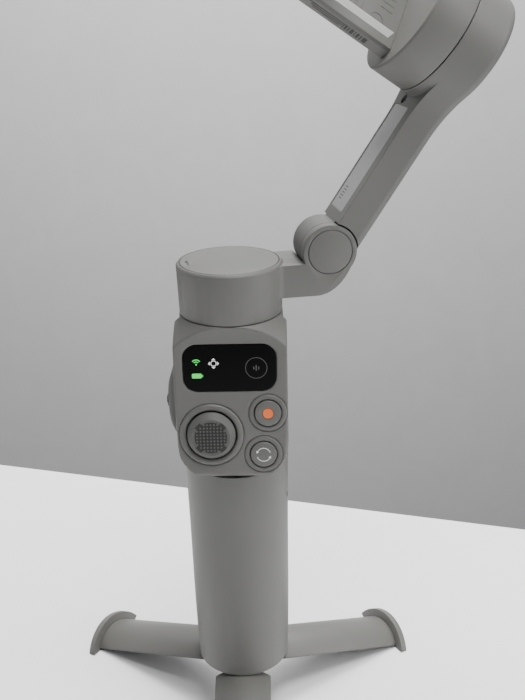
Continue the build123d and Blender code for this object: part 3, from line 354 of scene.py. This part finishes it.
def mode_key(bm):
    band(bm, FACE, 9.4, 25.4, 3.75, 4.0, GLASS_TOP, GLASS_TOP + 0.015, steps=48)


def mode_mark(bm):
    for k, h in enumerate((1.2, 2.2, 1.2)):
        prism(bm, FACE, round_rect(8.5 + 0.9 * k, 25.4, 0.42, h, 0.18, 3), GLASS_TOP, GLASS_TOP + 0.02)


made("icon_link", wireless_icon, M["green_lit"], "handle")
made("icon_battery", battery_icon, M["green_lit"], "handle")
made("icon_mode", mode_icon, M["white_lit"], "handle")
made("icon_key_ring", mode_key, M["dim_lit"], "handle")
made("icon_key_mark", mode_mark, M["dim_lit"], "handle")

# ---------------------------------------------------------------- joystick top, switch arrows
SX, SV = -7.7, 0.0


def stick_dots(bm):
    for i in range(9):
        for j in range(9):
            x, y = (i - 4) * 1.25, (j - 4) * 1.25
            if math.hypot(x, y) < 5.6:
                prism(bm, FACE, disc_outline(SX + x, SV + y, 0.36, 8), 3.35, 3.78)


def stick_disc(bm):
    band(bm, FACE, SX, SV, 0.01, 6.0, 3.3, 3.53, steps=64)


def stick_petals(bm):
    for k in range(4):
        a = 45 + 90 * k
        band(bm, FACE, SX, SV, 5.9, 6.9, 3.3, 3.56, a - 12, a + 12, 10)


def switch_arrows(bm):
    x, y, h = 11.4, -7.8, 1.0
    for a in (20, 200):
        band(bm, FACE, x, y, 2.42, 2.68, h, h + 0.03, a, a + 130, 22)
        e = math.radians(a + 130)
        c, s = math.cos(e), math.sin(e)
        tip = (x + 2.55 * c - 0.9 * s, y + 2.55 * s + 0.9 * c)
        prism(bm, FACE, [(x + 2.0 * c, y + 2.0 * s), (x + 3.1 * c, y + 3.1 * s), tip], h, h + 0.03)


made("stick_disc", stick_disc, M["stick_dark"], "joystick")
made("stick_dots", stick_dots, M["stick"], "joystick")
made("stick_marks", stick_petals, M["stick_dark"], "joystick")
made("switch_arrows", switch_arrows, M["white"], "switch_key")

# ---------------------------------------------------------------- moulded marks on the roll bar and arm
def bar_marks(bm):
    for x, y in ((-9.5, 30.0), (4.0, 36.0)):
        band(bm, BAR_FRONT, x, y, 2.4, 2.75, 0.0, 0.06, steps=30)
    for k in range(5):
        prism(bm, BAR_FRONT, round_rect(-3.5 + 2.6 * k, 27.5, 0.35, 5.0, 0.15, 3), 0.0, 0.06)
    for k in range(3):
        prism(bm, BAR_FRONT, round_rect(-9.5, 36.5 + 2.4 * k, 6.5, 0.35, 0.15, 3), 0.0, 0.06)


def label_lines(bm):
    pos = 26.5
    for k, w in enumerate((1.6, 0.5, 0.9, 0.35, 1.2, 0.45, 0.7, 0.3)):
        prism(bm, BAR_LOW, round_rect(pos + w / 2 + 3.0, 0.0, w, 2.4, 0.05, 2), 0.07, 0.1)
        pos += w + 0.55
    for k in range(3):
        prism(bm, BAR_LOW, round_rect(46.0, -0.9 + 0.9 * k, 15.0 - 2.0 * k, 0.3, 0.1, 2), 0.07, 0.1)


def arm_lines(bm):
    for k in range(5):
        prism(bm, ARM_INNER, round_rect(-66.0 + 1.2 * k, 4.2, 0.3, 2.8 + 0.5 * (k % 2), 0.1, 2), -0.1, -0.06)


made("bar_marks", bar_marks, M["shell_dark"], "tilt")
made("label_lines", label_lines, M["ink"], "tilt")
made("arm_lines", arm_lines, M["ink"], "arm")

# ---------------------------------------------------------------- stage and light
def stage_mat(name, base, rough, lo, hi, scale):
    mat = bpy.data.materials.new(name)
    mat.use_nodes = True
    nt = mat.node_tree
    b = nt.nodes["Principled BSDF"]
    b.inputs["Roughness"].default_value = rough
    t = nt.nodes.new("ShaderNodeTexCoord")
    n = nt.nodes.new("ShaderNodeTexNoise")
    n.inputs["Scale"].default_value = scale
    n.inputs["Detail"].default_value = 4.0
    n.inputs["Distortion"].default_value = 1.2
    r = nt.nodes.new("ShaderNodeValToRGB")
    r.color_ramp.elements[0].color = (*[c * lo for c in base], 1)
    r.color_ramp.elements[1].color = (*[min(1.0, c * hi) for c in base], 1)
    nt.links.new(t.outputs["Object"], n.inputs["Vector"])
    nt.links.new(n.outputs["Fac"], r.inputs["Fac"])
    nt.links.new(r.outputs["Color"], b.inputs["Base Color"])
    return mat


def plane(name, corners, mat):
    mesh = bpy.data.meshes.new(name)
    mesh.from_pydata([V(c) for c in corners], [], [(0, 1, 2, 3)])
    obj = bpy.data.objects.new(name, mesh)
    bpy.context.scene.collection.objects.link(obj)
    mesh.materials.append(mat)
    return obj


# The floor ends on a slanting line, and the wall stands far behind it, clear of every camera.
REACH = 3
EDGE_LEFT_Y, EDGE_RIGHT_Y = 0.95, -0.621
WALL_Y, WALL_REACH, WALL_LOW, WALL_TOP = 2.6, 5, -3, 2
plane("floor", ((-REACH, -REACH, 0), (REACH, -REACH, 0), (REACH, EDGE_RIGHT_Y, 0), (-REACH, EDGE_LEFT_Y, 0)),
      stage_mat("floor_paint", (0.86, 0.86, 0.86), 0.6, 0.96, 1.03, 3.0))
plane("backdrop", ((-WALL_REACH, WALL_Y, WALL_LOW), (WALL_REACH, WALL_Y, WALL_LOW),
                   (WALL_REACH, WALL_Y, WALL_TOP), (-WALL_REACH, WALL_Y, WALL_TOP)),
      stage_mat("wall_paint", (0.72, 0.715, 0.71), 0.7, 0.95, 1.05, 7.0))


def area(name, loc, target, size, power, color=(1, 1, 1)):
    data = bpy.data.lights.new(name, "AREA")
    data.shape = "RECTANGLE"
    data.size, data.size_y = size
    data.energy = power
    data.color = color
    obj = bpy.data.objects.new(name, data)
    bpy.context.scene.collection.objects.link(obj)
    obj.location = loc
    obj.rotation_euler = (V(target) - V(loc)).to_track_quat("-Z", "Y").to_euler()
    return obj


area("top_soft", (0.15, 0.07, 1.15), (0.0, 0.05, 0.0), (1.0, 0.35), 27.0)
area("right_soft", (0.95, -0.3, 0.55), (0.0, 0.0, 0.18), (0.5, 0.8), 6.5)
area("left_soft", (-0.9, 0.05, 0.5), (0.0, 0.0, 0.2), (0.5, 0.8), 1.2)
area("wall_wash", (0.0, 1.0, 1.5), (0.0, 2.6, -0.4), (2.0, 0.8), 75.0)
world = bpy.data.worlds.new("world")
bpy.context.scene.world = world
world.use_nodes = True
world.node_tree.nodes["Background"].inputs["Color"].default_value = (0.9, 0.92, 1.0, 1)
world.node_tree.nodes["Background"].inputs["Strength"].default_value = 0.13
